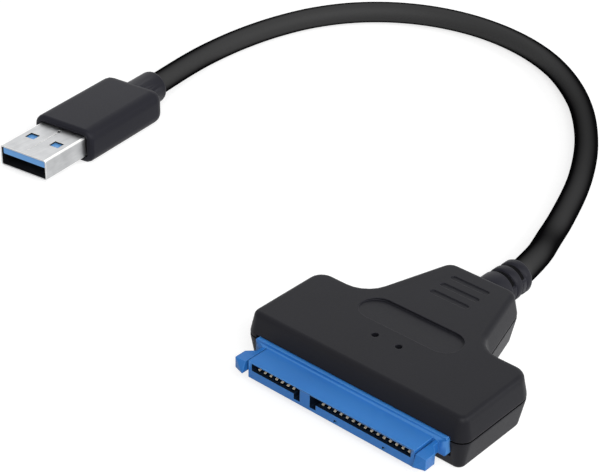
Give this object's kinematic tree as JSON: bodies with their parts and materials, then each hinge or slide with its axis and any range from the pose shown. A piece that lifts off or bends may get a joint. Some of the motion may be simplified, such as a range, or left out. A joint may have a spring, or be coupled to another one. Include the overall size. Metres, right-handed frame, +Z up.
{
  "type": "usb to sata adapter",
  "caption": "Flat T-shaped housing with a blue keyed drive connector along its front, and a round cable that curves round to a USB plug.",
  "frame": {"origin": "under the middle of the housing with its guide ears and strain relief, on the surface it lies on", "axes": "+Y from the drive connector towards the cable, +Z up through the top face, +X across the housing, so the USB plug lies on the -X side"},
  "size_m": [0.1349, 0.1439, 0.01],
  "materials": {
    "charcoal_plastic": "finely textured moulding",
    "blue_plastic": "satin moulding",
    "gold_plating": "plated, bright",
    "nickel_steel": "nickel plated, satin",
    "cable_rubber": "satin",
    "board_green": "lacquered",
    "chip_black": "matt",
    "capacitor_ceramic": "matt",
    "lamp_lens": "clear",
    "wire_red": "satin",
    "wire_white": "satin",
    "wire_green": "satin",
    "wire_blue": "satin",
    "wire_black": "satin"
  },
  "bodies": {
    "root": {"upper_shell": "charcoal_plastic", "lower_shell": "charcoal_plastic", "sata_body": "blue_plastic", "circuit_board": "board_green", "bridge_chip": "chip_black", "memory_chip": "chip_black", "voltage_regulator": "chip_black", "inductor": "chip_black", "crystal": "nickel_steel", "capacitor_1": "capacitor_ceramic", "capacitor_2": "capacitor_ceramic", "power_lamp": "lamp_lens", "activity_lamp": "lamp_lens", "strain_relief": "cable_rubber", "cable": "cable_rubber", "usb_shell": "nickel_steel", "usb_tongue": "blue_plastic", "usb_grip": "charcoal_plastic", "signal_contact_1": "gold_plating", "signal_contact_2": "gold_plating", "signal_contact_3": "gold_plating", "signal_contact_4": "gold_plating", "signal_contact_5": "gold_plating", "signal_contact_6": "gold_plating", "signal_contact_7": "gold_plating", "power_contact_01": "gold_plating", "power_contact_02": "gold_plating", "power_contact_03": "gold_plating", "power_contact_04": "gold_plating", "power_contact_05": "gold_plating", "power_contact_06": "gold_plating", "power_contact_07": "gold_plating", "power_contact_08": "gold_plating", "power_contact_09": "gold_plating", "power_contact_10": "gold_plating", "power_contact_11": "gold_plating", "power_contact_12": "gold_plating", "power_contact_13": "gold_plating", "power_contact_14": "gold_plating", "power_contact_15": "gold_plating", "usb_contact_1": "gold_plating", "usb_contact_2": "gold_plating", "usb_contact_3": "gold_plating", "usb_contact_4": "gold_plating", "usb_fast_contact_1": "gold_plating", "usb_fast_contact_2": "gold_plating", "usb_fast_contact_3": "gold_plating", "usb_fast_contact_4": "gold_plating", "usb_fast_contact_5": "gold_plating", "wire_red": "wire_red", "wire_white": "wire_white", "wire_green": "wire_green", "wire_blue": "wire_blue", "wire_black": "wire_black"}
  },
  "joints": []
}
